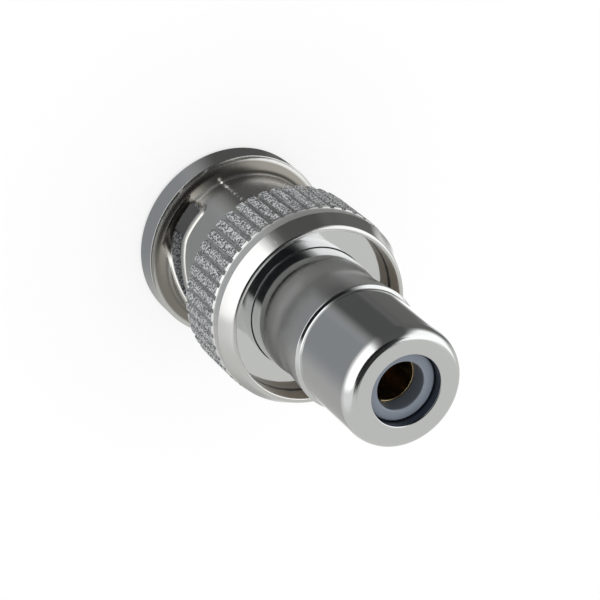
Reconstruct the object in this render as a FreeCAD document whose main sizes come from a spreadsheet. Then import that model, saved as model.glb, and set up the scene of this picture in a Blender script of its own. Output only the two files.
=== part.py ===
"""Bayonet plug to phono jack adapter, standing on the front rim of its coupling nut.

The axis of the adapter is +Z. The front rim lies in the plane z = 0 and the phono jack faces up.
All sizes are in millimetres and all angles in degrees.
"""

import FreeCAD, Part
import Sketcher

import math
import os


class Size:
    """A length or an angle that carries the sheet formula it comes from."""

    def __init__(self, value, formula):
        self.value = value
        self.formula = formula

    def __add__(self, other):
        other = sized(other)
        return Size(self.value + other.value, f"({self.formula} + {other.formula})")

    def __radd__(self, other):
        return sized(other) + self

    def __sub__(self, other):
        other = sized(other)
        return Size(self.value - other.value, f"({self.formula} - {other.formula})")

    def __rsub__(self, other):
        return sized(other) - self

    def __mul__(self, other):
        other = sized(other)
        return Size(self.value * other.value, f"({self.formula} * {other.formula})")

    def __rmul__(self, other):
        return sized(other) * self

    def __truediv__(self, other):
        other = sized(other)
        return Size(self.value / other.value, f"({self.formula} / {other.formula})")

    def __neg__(self):
        return Size(-self.value, f"(0 - {self.formula})")


def sized(number):
    """Returns a Size, also for a plain number."""
    return number if isinstance(number, Size) else Size(float(number), f"{float(number):g}")


def root(size):
    """Square root of a Size."""
    return Size(math.sqrt(size.value), f"sqrt({size.formula})")


def sine(angle):
    """Sine of a Size in degrees."""
    return Size(math.sin(math.radians(angle.value)), f"sin({angle.formula} * 1 deg)")


def cosine(angle):
    """Cosine of a Size in degrees."""
    return Size(math.cos(math.radians(angle.value)), f"cos({angle.formula} * 1 deg)")


def tangent(angle):
    """Tangent of a Size in degrees."""
    return sine(angle) / cosine(angle)


def beside(hypotenuse, side):
    """The other short side of a right triangle."""
    return root(hypotenuse * hypotenuse - side * side)


document = FreeCAD.newDocument("adapter")

# How far a cutting outline starts outside the metal that it cuts, in millimetres.
OVERCUT = 0.1

# Azimuth that the upright sketch plane faces before it is turned, in degrees.
FRONT_AZIMUTH = 270

# Driving sizes, grouped by piece. Each is written once, and every fit is worked out from them.
DRIVING = {
    # Coupling nut, outside
    "rim_radius": 6.83,
    "rim_length": 1.9,
    "rim_chamfer": 0.22,
    "waist_radius": 5.7,
    "waist_corner": 0.5,
    "knurl_start": 8.3,
    "knurl_length": 4.25,
    "knurl_radius": 7.03,
    "knurl_chamfer": 0.14,
    "groove_count": 48,
    "groove_width": 0.46,
    "groove_depth": 0.33,
    "groove_turn": 1.1,
    "collar_radius": 6.92,
    "collar_length": 0.72,
    "bevel_length": 1.18,
    "lip_thickness": 0.33,
    "lip_round": 0.12,
    # Coupling nut, inside
    "bore_radius": 4.9,
    "bore_chamfer": 0.3,
    "chamber_radius": 5.75,
    "shoulder_height": 8.9,
    "ledge_width": 0.4,
    "recess_depth": 1.4,
    "stake_overlap": 0.1,
    # Bayonet slots
    "slot_count": 2,
    "slot_width": 2.1,
    "slot_height": 2.98,
    "slot_rise": 2.5,
    "slot_slope": 30,
    "slot_bend": 2.2,
    "slot_bend_place": 3.5,
    "slot_floor": 2.3,
    "detent_place": 2.7,
    "detent_drop": 0.3,
    "pull_azimuth": 333,
    "entry_azimuth": 281,
    "entry_width": 2.2,
    "entry_radius": 5.6,
    # Rings in the nut
    "closing_thickness": 0.8,
    "closing_chamfer": 0.06,
    "neck_clearance": 0.08,
    "thrust_thickness": 0.5,
    "thrust_clearance": 0.05,
    "wave_thickness": 0.3,
    "wave_count": 3,
    "wave_inset": 0.3,
    "edge_gap": 0.1,
    "face_gap": 0.02,
    # Adapter body
    "flange_thickness": 1.3,
    "sleeve_start": 1.5,
    "sleeve_radius": 4.05,
    "sleeve_wall": 0.52,
    "sleeve_nose": 0.25,
    "finger_count": 4,
    "finger_gap": 0.5,
    "finger_length": 4.6,
    "finger_turn": 45,
    "neck_radius": 4.36,
    "waisted_radius": 4.17,
    "waisted_height": 16.1,
    "neck_end_radius": 4.46,
    "neck_end_height": 19.68,
    "barrel_radius": 4.2,
    "barrel_start": 19.84,
    "barrel_end": 26.25,
    "barrel_round": 0.72,
    "socket_radius": 2.45,
    "socket_chamfer": 0.08,
    "bush_end": 11.0,
    # Front gasket
    "gasket_thickness": 0.8,
    "gasket_groove_depth": 0.2,
    "gasket_gap": 0.3,
    "gasket_round": 0.15,
    # Plug bush and pin
    "bush_start": 7.2,
    "bush_nose_radius": 1.6,
    "bush_nose_length": 0.6,
    "pin_tip": 2.2,
    "pin_radius": 0.675,
    "pin_point": 0.3,
    "pin_shank_radius": 1.0,
    "pin_tail_radius": 0.75,
    "press_gap": 0.02,
    # Jack insulator and contact
    "insulator_recess": 0.7,
    "insulator_hole": 1.65,
    "insulator_front": 1.3,
    "insulator_chamfer": 0.12,
    "insulator_floor": 1.3,
    "contact_radius": 1.95,
    "contact_bore": 1.58,
    "contact_floor": 1.6,
    "contact_slots": 2,
    "contact_slot_width": 0.4,
    "contact_slot_length": 6.5,
    "contact_slot_turn": 15,
}


def fill_sheet(values):
    """Writes the driving sizes into a sheet and returns each one as a Size."""
    sheet = document.addObject("Spreadsheet::Sheet", "Sizes")
    sizes = {}
    for row, (name, value) in enumerate(values.items(), start=1):
        sheet.set(f"A{row}", name)
        sheet.set(f"B{row}", f"{value:g}")
        sheet.setAlias(f"B{row}", name)
        sizes[name] = Size(float(value), f"Sizes.{name}")
    document.recompute()
    return sizes


S = fill_sheet(DRIVING)
ZERO = sized(0)


def new_body(label):
    """Adds a body whose label names its file."""
    body = document.addObject("PartDesign::Body", label)
    body.Label = label
    return body


def origin_feature(body, role):
    """Returns the plane or axis of the body's own origin with this role."""
    return next(f for f in body.Origin.OriginFeatures if f.Role == role)


def new_sketch(body, name, role):
    """Adds a sketch on one of the body's origin planes."""
    sketch = body.newObject("Sketcher::SketchObject", name)
    sketch.AttachmentSupport = [(origin_feature(body, role), "")]
    sketch.MapMode = "FlatFace"
    return sketch


def level_sketch(body, name, height=ZERO, azimuth=ZERO):
    """Adds a level sketch at a height, turned about the axis of the adapter."""
    sketch = new_sketch(body, name, "XY_Plane")
    turn = FreeCAD.Rotation(FreeCAD.Vector(0, 0, 1), azimuth.value)
    sketch.AttachmentOffset = FreeCAD.Placement(FreeCAD.Vector(0, 0, height.value), turn)
    sketch.setExpression("AttachmentOffset.Base.z", f"{height.formula} * 1 mm")
    if azimuth is not ZERO:
        sketch.setExpression("AttachmentOffset.Rotation.Angle", f"{azimuth.formula} * 1 deg")
    return sketch


def upright_sketch(body, name, reach, azimuth):
    """Adds an upright sketch that faces an azimuth, at a distance from the axis."""
    sketch = new_sketch(body, name, "XZ_Plane")
    turn = azimuth - FRONT_AZIMUTH
    across, ahead = reach * sine(turn), reach * cosine(turn)
    rotation = FreeCAD.Rotation(FreeCAD.Vector(0, 1, 0), turn.value)
    sketch.AttachmentOffset = FreeCAD.Placement(FreeCAD.Vector(across.value, 0, ahead.value), rotation)
    sketch.setExpression("AttachmentOffset.Base.x", f"{across.formula} * 1 mm")
    sketch.setExpression("AttachmentOffset.Base.z", f"{ahead.formula} * 1 mm")
    sketch.setExpression("AttachmentOffset.Rotation.Angle", f"{turn.formula} * 1 deg")
    return sketch


def arc_to(radius, centre, anticlockwise):
    """Describes the arc from one corner of an outline to the next."""
    return {"radius": radius, "centre": centre, "anticlockwise": anticlockwise}


def arc_geometry(start, end, arc):
    """Makes the arc of circle from start to end for a sketch."""
    centre = FreeCAD.Vector(arc["centre"][0].value, arc["centre"][1].value, 0)
    first = math.atan2(start.y - centre.y, start.x - centre.x)
    last = math.atan2(end.y - centre.y, end.x - centre.x)
    if not arc["anticlockwise"]:
        first, last = last, first
    circle = Part.Circle(centre, FreeCAD.Vector(0, 0, 1), arc["radius"].value)
    return Part.ArcOfCircle(circle, first, last if last > first else last + 2 * math.pi)


def draw_outline(sketch, corners):
    """Draws a closed outline whose corners and arc radii are bound to the sheet.

    A corner is (across, along), or (across, along, arc) where an arc leads on to the next corner.
    """
    points = [FreeCAD.Vector(c[0].value, c[1].value, 0) for c in corners]
    count = len(corners)
    ends = []
    for index, corner in enumerate(corners):
        start, end = points[index], points[(index + 1) % count]
        if len(corner) == 3:
            sketch.addGeometry(arc_geometry(start, end, corner[2]), False)
            ends.append((1, 2) if corner[2]["anticlockwise"] else (2, 1))
        else:
            sketch.addGeometry(Part.LineSegment(start, end), False)
            ends.append((1, 2))
    for index in range(count):
        following = (index + 1) % count
        link = Sketcher.Constraint("Coincident", index, ends[index][1], following, ends[following][0])
        sketch.addConstraint(link)
    for index, corner in enumerate(corners):
        bind_corner(sketch, index, ends[index][0], corner)


def bind_corner(sketch, index, end, corner):
    """Ties one corner, and the arc that leaves it, to their formulas."""
    for kind, size in (("DistanceX", corner[0]), ("DistanceY", corner[1])):
        if size.formula == "0":
            axis = -2 if kind == "DistanceX" else -1
            sketch.addConstraint(Sketcher.Constraint("PointOnObject", index, end, axis))
            continue
        number = sketch.addConstraint(Sketcher.Constraint(kind, -1, 1, index, end, size.value))
        sketch.setExpression(f"Constraints[{number}]", f"{size.formula} * 1 mm")
    if len(corner) == 3:
        radius = corner[2]["radius"]
        number = sketch.addConstraint(Sketcher.Constraint("Radius", index, radius.value))
        sketch.setExpression(f"Constraints[{number}]", f"{radius.formula} * 1 mm")


def turned(body, name, corners):
    """Turns an outline of radii and heights about the axis of the adapter."""
    sketch = new_sketch(body, f"{name}_outline", "XZ_Plane")
    draw_outline(sketch, corners)
    turning = body.newObject("PartDesign::Revolution", name)
    turning.Profile = sketch
    turning.ReferenceAxis = (sketch, ["V_Axis"])
    turning.Angle = 360
    sketch.Visibility = False
    return turning


def cut(body, name, sketch, length=None):
    """Cuts a sketch into the body along its normal, to a length or right out of the body."""
    pocket = body.newObject("PartDesign::Pocket", name)
    pocket.Profile = sketch
    pocket.Reversed = True
    if length is None:
        pocket.Type = "ThroughAll"
    else:
        pocket.Type = "Length"
        pocket.Length = length.value
        pocket.setExpression("Length", f"{length.formula} * 1 mm")
    sketch.Visibility = False
    return pocket


def repeat_round(body, name, features, count):
    """Repeats features evenly round the axis and makes the pattern the body's tip."""
    pattern = body.newObject("PartDesign::PolarPattern", name)
    pattern.Originals = features
    pattern.Axis = (origin_feature(body, "Z_Axis"), [""])
    pattern.Angle = 360
    pattern.Occurrences = int(count.value)
    pattern.setExpression("Occurrences", count.formula)
    body.Tip = pattern
    return pattern


# Heights that more than one piece shares.
knurl_end = S["knurl_start"] + S["knurl_length"]
collar_end = knurl_end + S["collar_length"]
nut_end = collar_end + S["bevel_length"]
recess_floor = nut_end - S["recess_depth"]
ledge_height = recess_floor - S["closing_thickness"]
flange_start = S["shoulder_height"] + S["face_gap"]
flange_end = flange_start + S["flange_thickness"]
thrust_end = ledge_height - S["face_gap"]
thrust_start = thrust_end - S["thrust_thickness"]
gasket_end = flange_start - S["face_gap"]
gasket_start = gasket_end - S["gasket_thickness"]
groove_start = gasket_start - S["face_gap"]

# Radii that more than one piece shares.
closing_radius = S["chamber_radius"] + S["ledge_width"]
recess_radius = closing_radius - S["stake_overlap"]
lip_radius = recess_radius + S["lip_thickness"]
flange_radius = S["chamber_radius"] - S["edge_gap"]
groove_radius = S["sleeve_radius"] - S["gasket_groove_depth"]
sleeve_bore = S["sleeve_radius"] - S["sleeve_wall"]
bush_radius = sleeve_bore - S["press_gap"]
insulator_radius = S["socket_radius"] - S["press_gap"]
insulator_end = S["barrel_end"] - S["insulator_recess"]
contact_end = insulator_end - S["insulator_front"]


def nut_outline():
    """Half section of the coupling nut: up the outside, over the rolled lip and down the stepped inside."""
    fillet = S["rim_radius"] - S["waist_radius"]
    fillet_centre = (S["rim_radius"], S["rim_length"] + fillet)
    corner = S["waist_corner"]
    corner_centre = (S["waist_radius"] + corner, S["knurl_start"] - corner)
    chamfer = S["knurl_chamfer"]
    lip = S["lip_round"]
    lip_centre = (lip_radius - lip, nut_end - lip)
    return [
        (S["bore_radius"] + S["bore_chamfer"], ZERO),
        (S["rim_radius"] - S["rim_chamfer"], ZERO),
        (S["rim_radius"], S["rim_chamfer"]),
        (S["rim_radius"], S["rim_length"], arc_to(fillet, fillet_centre, False)),
        (S["waist_radius"], S["rim_length"] + fillet),
        (S["waist_radius"], S["knurl_start"] - corner, arc_to(corner, corner_centre, False)),
        (S["waist_radius"] + corner, S["knurl_start"]),
        (S["knurl_radius"] - chamfer, S["knurl_start"]),
        (S["knurl_radius"], S["knurl_start"] + chamfer),
        (S["knurl_radius"], knurl_end - (S["knurl_radius"] - S["collar_radius"])),
        (S["collar_radius"], knurl_end),
        (S["collar_radius"], collar_end),
        (lip_radius, nut_end - lip, arc_to(lip, lip_centre, True)),
        (lip_radius - lip, nut_end),
        (recess_radius, nut_end),
        (recess_radius, recess_floor + S["face_gap"]),
        (closing_radius + S["face_gap"], recess_floor + S["face_gap"]),
        (closing_radius + S["face_gap"], ledge_height),
        (S["chamber_radius"], ledge_height),
        (S["chamber_radius"], S["shoulder_height"]),
        (S["bore_radius"], S["shoulder_height"]),
        (S["bore_radius"], S["bore_chamfer"]),
    ]


def slot_outline():
    """A bayonet slot seen along the pull of its die: level entry, slope, level end and detent hollow."""
    half = S["slot_width"] / 2
    slope, bend = S["slot_slope"], S["slot_bend"]
    low, high = S["slot_height"], S["slot_height"] + S["slot_rise"]
    first = -S["slot_bend_place"]
    second = first + S["slot_rise"] / tangent(slope)
    reach = bend * tangent(slope / 2)
    along, rise = cosine(slope), sine(slope)
    first_centre = (first - reach, low + bend)
    second_centre = (second + reach, high - bend)
    hollow = half + S["detent_drop"]
    hollow_centre = (S["detent_place"], high - S["detent_drop"])
    hollow_start = S["detent_place"] - beside(hollow, half - S["detent_drop"])
    outside = -S["rim_radius"]
    return [
        (outside, low - half),
        (first - reach, low - half, arc_to(bend + half, first_centre, True)),
        (first + reach * along + half * rise, low + reach * rise - half * along),
        (
            second - reach * along + half * rise,
            high - reach * rise - half * along,
            arc_to(bend - half, second_centre, False),
        ),
        (second + reach, high - half),
        (hollow_start, high - half, arc_to(hollow, hollow_centre, True)),
        (S["detent_place"], high + half),
        (second + reach, high + half, arc_to(bend + half, second_centre, True)),
        (second - reach * along - half * rise, high - reach * rise + half * along),
        (
            first + reach * along - half * rise,
            low + reach * rise + half * along,
            arc_to(bend - half, first_centre, False),
        ),
        (first - reach, low + half),
        (outside, low + half),
    ]


def make_coupling_nut():
    """Die-cast nut: turned form, bayonet slots with their lug channels, and a band of straight ribs."""
    nut = new_body("coupling_nut")
    turned(nut, "nut_form", nut_outline())

    sketch = upright_sketch(nut, "slot_outline", S["slot_floor"], S["pull_azimuth"])
    draw_outline(sketch, slot_outline())
    slot = cut(nut, "bayonet_slot", sketch)

    half = S["entry_width"] / 2
    reach = beside(S["entry_radius"], half)
    inner = S["bore_radius"] - half
    sketch = level_sketch(nut, "entry_outline", azimuth=S["entry_azimuth"])
    channel_floor = arc_to(S["entry_radius"], (ZERO, ZERO), True)
    draw_outline(sketch, [(inner, -half), (reach, -half, channel_floor), (reach, half), (inner, half)])
    entry = cut(nut, "lug_channel", sketch, S["slot_height"])
    repeat_round(nut, "bayonet_slots", [slot, entry], S["slot_count"])

    half = S["groove_width"] / 2
    outside = S["knurl_radius"] + S["groove_depth"]
    foot = S["knurl_radius"] - S["groove_depth"]
    sketch = level_sketch(nut, "groove_outline", S["knurl_start"] - OVERCUT, S["groove_turn"])
    draw_outline(sketch, [(foot, ZERO), (outside, -2 * half), (outside, 2 * half)])
    groove = cut(nut, "rib_groove", sketch, S["knurl_length"] + OVERCUT)
    repeat_round(nut, "ribs", [groove], S["groove_count"])
    return nut


def make_closing_washer():
    """Flat disc that closes the back of the nut and is trapped under its rolled lip."""
    washer = new_body("closing_washer")
    hole = S["neck_radius"] + S["neck_clearance"]
    chamfer = S["closing_chamfer"]
    corners = [
        (hole, ledge_height),
        (closing_radius, ledge_height),
        (closing_radius, recess_floor),
        (hole + chamfer, recess_floor),
        (hole, recess_floor - chamfer),
    ]
    turned(washer, "closing_form", corners)
    return washer


def make_thrust_washer():
    """Flat steel ring between the wavy ring and the closing washer."""
    washer = document.addObject("Part::Cut", "thrust_washer")
    washer.Label = "thrust_washer"
    outer = document.addObject("Part::Cylinder", "thrust_disc")
    inner = document.addObject("Part::Cylinder", "thrust_hole")
    radii = (flange_radius, S["neck_radius"] + S["thrust_clearance"])
    for cylinder, radius in zip((outer, inner), radii):
        cylinder.setExpression("Radius", f"{radius.formula} * 1 mm")
        cylinder.setExpression("Height", f"{S['thrust_thickness'].formula} * 1 mm")
        cylinder.setExpression("Placement.Base.z", f"{thrust_start.formula} * 1 mm")
    washer.Base = outer
    washer.Tool = inner
    return washer


def wave_edge(radius, height, swing, waves):
    """Closed wavy curve round the axis, with its crests at height + swing."""
    points = []
    steps = 8 * waves
    for step in range(steps):
        angle = 2 * math.pi * step / steps
        lift = height + swing * math.cos(waves * angle)
        points.append(FreeCAD.Vector(radius * math.cos(angle), radius * math.sin(angle), lift))
    curve = Part.BSplineCurve()
    curve.interpolate(Points=points, PeriodicFlag=True)
    return curve.toShape()


def make_wave_spring():
    """Wavy spring ring whose troughs stand on the flange and whose crests bear on the thrust washer."""
    waves = int(S["wave_count"].value)
    inner = (S["neck_radius"] + S["wave_inset"]).value
    outer = (flange_radius - S["wave_inset"] / 2).value
    floor = (flange_end + S["face_gap"]).value
    ceiling = (thrust_start - S["face_gap"]).value
    half = S["wave_thickness"].value / 2
    middle, swing = (floor + ceiling) / 2, (ceiling - floor) / 2 - half
    rims = [
        wave_edge(inner, middle - half, swing, waves),
        wave_edge(outer, middle - half, swing, waves),
        wave_edge(outer, middle + half, swing, waves),
        wave_edge(inner, middle + half, swing, waves),
    ]
    walls = [Part.makeRuledSurface(rims[k], rims[(k + 1) % 4]) for k in range(4)]
    solid = Part.makeSolid(Part.makeShell(walls))
    if solid.Volume < 0:
        solid.reverse()
    spring = document.addObject("Part::Feature", "wave_spring")
    spring.Label = "wave_spring"
    spring.Shape = solid
    return spring


def body_outline():
    """Half section of the turned body: sleeve, gasket groove, flange, waisted neck, shoulder and phono barrel."""
    nose = S["sleeve_nose"]
    rounding = S["barrel_round"]
    round_centre = (S["barrel_radius"] - rounding, S["barrel_end"] - rounding)
    chamfer = S["socket_chamfer"]
    return [
        (sleeve_bore + nose, S["sleeve_start"]),
        (S["sleeve_radius"] - nose, S["sleeve_start"]),
        (S["sleeve_radius"], S["sleeve_start"] + nose),
        (S["sleeve_radius"], groove_start),
        (groove_radius, groove_start),
        (groove_radius, flange_start),
        (flange_radius, flange_start),
        (flange_radius, flange_end),
        (S["neck_radius"], flange_end),
        (S["neck_radius"], recess_floor, waist_arc()),
        (S["neck_end_radius"], S["neck_end_height"]),
        (S["barrel_radius"], S["barrel_start"]),
        (S["barrel_radius"], S["barrel_end"] - rounding, arc_to(rounding, round_centre, True)),
        (S["barrel_radius"] - rounding, S["barrel_end"]),
        (S["socket_radius"] + chamfer, S["barrel_end"]),
        (S["socket_radius"], S["barrel_end"] - chamfer),
        (S["socket_radius"], S["bush_end"]),
        (sleeve_bore, S["bush_end"]),
        (sleeve_bore, S["sleeve_start"] + nose),
    ]


def waist_arc():
    """The hollow of the neck: the arc through its foot, its narrowest point and its shoulder."""
    ax, ay = S["neck_radius"], recess_floor
    bx, by = S["waisted_radius"], S["waisted_height"]
    cx, cy = S["neck_end_radius"], S["neck_end_height"]
    double_area = 2 * (ax * (by - cy) + bx * (cy - ay) + cx * (ay - by))
    a2, b2, c2 = ax * ax + ay * ay, bx * bx + by * by, cx * cx + cy * cy
    across = (a2 * (by - cy) + b2 * (cy - ay) + c2 * (ay - by)) / double_area
    along = (a2 * (cx - bx) + b2 * (ax - cx) + c2 * (bx - ax)) / double_area
    radius = root((across - ax) * (across - ax) + (along - ay) * (along - ay))
    return arc_to(radius, (across, along), False)


def make_adapter_body():
    """Turned body of the adapter, with the fingers of its contact sleeve sawn open."""
    body = new_body("adapter_body")
    turned(body, "body_form", body_outline())
    half = S["finger_gap"] / 2
    inner = sleeve_bore - S["sleeve_wall"]
    outer = S["sleeve_radius"] + S["sleeve_wall"]
    sketch = level_sketch(body, "finger_outline", S["sleeve_start"] - OVERCUT, S["finger_turn"])
    draw_outline(sketch, [(inner, -half), (outer, -half), (outer, half), (inner, half)])
    gap = cut(body, "finger_slot", sketch, S["finger_length"] + OVERCUT)
    repeat_round(body, "fingers", [gap], S["finger_count"])
    return body


def make_front_gasket():
    """Soft ring in the groove at the root of the contact sleeve, in front of the flange."""
    gasket = new_body("front_gasket")
    inner = groove_radius + S["press_gap"]
    outer = S["bore_radius"] - S["gasket_gap"]
    curve = S["gasket_round"]
    corners = [
        (inner, gasket_start),
        (outer - curve, gasket_start, arc_to(curve, (outer - curve, gasket_start + curve), True)),
        (outer, gasket_start + curve),
        (outer, gasket_end),
        (inner, gasket_end),
    ]
    turned(gasket, "gasket_form", corners)
    return gasket


def make_bnc_insulator():
    """White bush that centres the pin in the plug, with a short nose round it."""
    bush = new_body("bnc_insulator")
    hole = S["pin_shank_radius"] + S["press_gap"]
    nose_start = S["bush_start"] - S["bush_nose_length"]
    top = S["bush_end"] - S["face_gap"]
    corners = [
        (hole, nose_start),
        (S["bush_nose_radius"], nose_start),
        (S["bush_nose_radius"], S["bush_start"]),
        (bush_radius, S["bush_start"]),
        (bush_radius, top),
        (hole, top),
    ]
    turned(bush, "bush_form", corners)
    return bush


def make_centre_pin():
    """Pin of the plug, its shank in the bush and its tail, which enters the contact tube of the jack."""
    pin = new_body("centre_pin")
    shank_start = S["bush_start"] - S["bush_nose_length"]
    shank_end = S["bush_end"] + S["insulator_floor"]
    tail_end = shank_end + S["contact_floor"]
    point = S["pin_point"]
    corners = [
        (ZERO, S["pin_tip"]),
        (S["pin_radius"] - point, S["pin_tip"]),
        (S["pin_radius"], S["pin_tip"] + 2 * point),
        (S["pin_radius"], shank_start),
        (S["pin_shank_radius"], shank_start),
        (S["pin_shank_radius"], shank_end),
        (S["pin_tail_radius"], shank_end),
        (S["pin_tail_radius"], tail_end),
        (ZERO, tail_end),
    ]
    turned(pin, "pin_form", corners)
    return pin


def make_rca_insulator():
    """Plastic tube that lines the phono barrel, with a narrower hole in front of the contact tube."""
    insulator = new_body("rca_insulator")
    start = S["bush_end"] + S["face_gap"]
    floor = S["bush_end"] + S["insulator_floor"]
    hole = S["pin_shank_radius"] + S["press_gap"]
    seat = S["contact_radius"] + S["press_gap"]
    chamfer = S["insulator_chamfer"]
    corners = [
        (hole, start),
        (insulator_radius, start),
        (insulator_radius, insulator_end - chamfer),
        (insulator_radius - chamfer, insulator_end),
        (S["insulator_hole"] + chamfer, insulator_end),
        (S["insulator_hole"], insulator_end - chamfer),
        (S["insulator_hole"], contact_end),
        (seat, contact_end),
        (seat, floor),
        (hole, floor),
    ]
    turned(insulator, "insulator_form", corners)
    return insulator


def make_rca_contact():
    """Contact tube of the phono jack, closed at its foot round the pin's tail and slit at its mouth."""
    contact = new_body("rca_contact")
    start = S["bush_end"] + S["insulator_floor"] + S["face_gap"]
    floor = start + S["contact_floor"]
    top = contact_end - S["face_gap"]
    hole = S["pin_tail_radius"] + S["press_gap"]
    corners = [
        (hole, start),
        (S["contact_radius"], start),
        (S["contact_radius"], top),
        (S["contact_bore"], top),
        (S["contact_bore"], floor),
        (hole, floor),
    ]
    turned(contact, "contact_form", corners)
    half = S["contact_slot_width"] / 2
    outer = S["contact_radius"] + half
    inner = S["contact_bore"] - half
    sketch = level_sketch(contact, "slit_outline", top - S["contact_slot_length"], S["contact_slot_turn"])
    draw_outline(sketch, [(inner, -half), (outer, -half), (outer, half), (inner, half)])
    slit = cut(contact, "contact_slit", sketch, S["contact_slot_length"] + OVERCUT)
    repeat_round(contact, "contact_slits", [slit], S["contact_slots"])
    return contact


def check(pieces):
    """Stops if an object of the document failed, a piece is no sound solid, or a cut took nothing away."""
    for item in document.Objects:
        if {"Invalid", "Error"} & set(item.State):
            raise RuntimeError(f"{item.Label} failed: {item.State}")
    for piece in pieces:
        shape = piece.Shape
        if shape.isNull() or not shape.isValid() or len(shape.Solids) != 1:
            raise RuntimeError(f"{piece.Label} is not one sound solid")
    for item in document.Objects:
        if item.TypeId in ("PartDesign::Pocket", "PartDesign::PolarPattern"):
            if item.Shape.Volume >= item.BaseFeature.Shape.Volume - 1e-6:
                raise RuntimeError(f"{item.Label} cuts nothing")


def main():
    """Builds every piece, checks it and writes it to the parts folder."""
    pieces = [
        make_coupling_nut(),
        make_closing_washer(),
        make_thrust_washer(),
        make_wave_spring(),
        make_adapter_body(),
        make_front_gasket(),
        make_bnc_insulator(),
        make_centre_pin(),
        make_rca_insulator(),
        make_rca_contact(),
    ]
    document.recompute()
    check(pieces)
    os.makedirs("parts", exist_ok=True)
    for piece in pieces:
        piece.Shape.exportStep(os.path.join("parts", f"{piece.Label}.step"))
        print(f"{piece.Label}: {piece.Shape.Volume:.2f} mm3")


main()
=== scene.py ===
"""Dresses the bayonet plug to phono jack adapter and sets up its studio picture.

The classes keep their sizes in millimetres and azimuths in degrees, as a turner's drawing has them.
Meshes are scaled to metres as the last step. The adapter stands on the front rim of its coupling nut.
"""

import logging
import math
from contextlib import contextmanager
from dataclasses import dataclass, replace
from enum import Enum
from itertools import product
from typing import Callable, Iterable, Iterator, Optional, Sequence

import bmesh
import bpy
from mathutils import Matrix, Vector, noise


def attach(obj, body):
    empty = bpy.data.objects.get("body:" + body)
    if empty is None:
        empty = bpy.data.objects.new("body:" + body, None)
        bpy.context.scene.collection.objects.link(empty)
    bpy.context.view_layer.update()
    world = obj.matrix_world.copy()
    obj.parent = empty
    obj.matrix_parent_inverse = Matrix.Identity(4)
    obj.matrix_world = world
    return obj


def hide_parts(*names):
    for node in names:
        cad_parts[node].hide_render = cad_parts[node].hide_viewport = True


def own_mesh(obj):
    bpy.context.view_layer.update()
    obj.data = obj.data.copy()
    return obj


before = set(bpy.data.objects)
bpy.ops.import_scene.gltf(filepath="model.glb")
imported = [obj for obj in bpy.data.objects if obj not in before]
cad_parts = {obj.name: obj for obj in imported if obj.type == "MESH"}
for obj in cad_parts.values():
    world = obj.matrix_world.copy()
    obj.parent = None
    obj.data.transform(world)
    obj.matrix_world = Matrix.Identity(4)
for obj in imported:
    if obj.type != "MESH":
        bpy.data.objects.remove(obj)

LOG = logging.getLogger("adapter")
MM = 0.001
WHITE = (1.0, 1.0, 1.0, 1.0)

# Distances in millimetres and turns in radians below which points, heights and lines count as the same.
SAME_POINT = 1e-5
SAME_HEIGHT = 1e-6
STRAIGHT = 1e-4

# Turn between two faces, in degrees, above which the edge between them stays sharp.
CREASE = 32.0

# How far a saw reaches past what it cuts.
SAW_MARGIN = 0.5

Point = tuple[float, float]
Colour = tuple[float, float, float]
Piece = bpy.types.Object
Material = bpy.types.Material
Socket = bpy.types.NodeSocket
Reach = Callable[[float, float, float], float]


class Body(Enum):
    """The bodies of the adapter that move against each other."""

    ADAPTER = "adapter"
    NUT = "nut"


@dataclass(frozen=True)
class Round:
    """How a corner of an outline is eased.

    Attributes:
        radius: Radius of the round, or 0 for none.
        steps: Number of chords in it.
        share: Share of the lines beside the corner that it may take.
    """

    radius: float = 0.0
    steps: int = 3
    share: float = 0.49


@dataclass(frozen=True)
class Corner:
    """One corner of an outline.

    Attributes:
        across: Distance from the axis, or along a surface laid out flat.
        along: Height above the front rim.
        easing: The round on it.
    """

    across: float
    along: float
    easing: Round = Round()


def stepped(easing: Round, *steps: Point, others: Optional[dict[int, Round]] = None) -> list[Corner]:
    """Draws an outline that runs only along and across the axis.

    Args:
        easing: The round on its corners.
        steps: Radius of each stretch along the axis, and the height at which it ends.
        others: Other rounds, by the numbers of their corners.

    Returns:
        The corners, two for each step.
    """
    corners = []
    for (radius, height), (beyond, _) in zip(steps, [*steps[1:], steps[0]]):
        corners += [Corner(radius, height, easing), Corner(beyond, height, easing)]
    for number, other in (others or {}).items():
        corners[number] = replace(corners[number], easing=other)
    return corners


def ease_corner(before: Vector, corner: Corner, after: Vector, support: float) -> list[Point]:
    """Rounds one corner of an outline.

    Args:
        before: The corner before it.
        corner: The corner to round.
        after: The corner after it.
        support: Length of straight line that is kept beside the round, which holds the shading flat.

    Returns:
        The points that take the corner's place.
    """
    here, easing = Vector((corner.across, corner.along)), corner.easing
    if easing.radius <= 0:
        return [(here.x, here.y)]
    come, leave = here - before, after - here
    room = easing.share * min(come.length, leave.length)
    come, leave = come.normalized(), leave.normalized()
    turn = come.angle_signed(leave)
    if abs(turn) < STRAIGHT:
        return [(here.x, here.y)]
    tangent = min(easing.radius * math.tan(abs(turn) / 2), room)
    radius = tangent / math.tan(abs(turn) / 2)
    side = Vector((-come.y, come.x)) * (-math.copysign(1, turn))
    start = here - come * tangent
    centre = start + side * radius
    swings = [Matrix.Rotation(-turn * step / easing.steps, 2) for step in range(easing.steps + 1)]
    points = [centre + swing @ (start - centre) for swing in swings]
    if tangent + support < room:
        points = [start - come * support, *points, here + leave * (tangent + support)]
    return [(p.x, p.y) for p in points]


def ease(corners: Sequence[Corner], support: float = 0.02) -> list[Point]:
    """Rounds the corners of a closed outline.

    Args:
        corners: The corners in order.
        support: Length of straight line kept beside each round.

    Returns:
        The points of the eased outline.
    """
    places = [Vector((corner.across, corner.along)) for corner in corners]
    points: list[Point] = []
    for index, corner in enumerate(corners):
        points += ease_corner(places[index - 1], corner, places[(index + 1) % len(places)], support)
    return points


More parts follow.
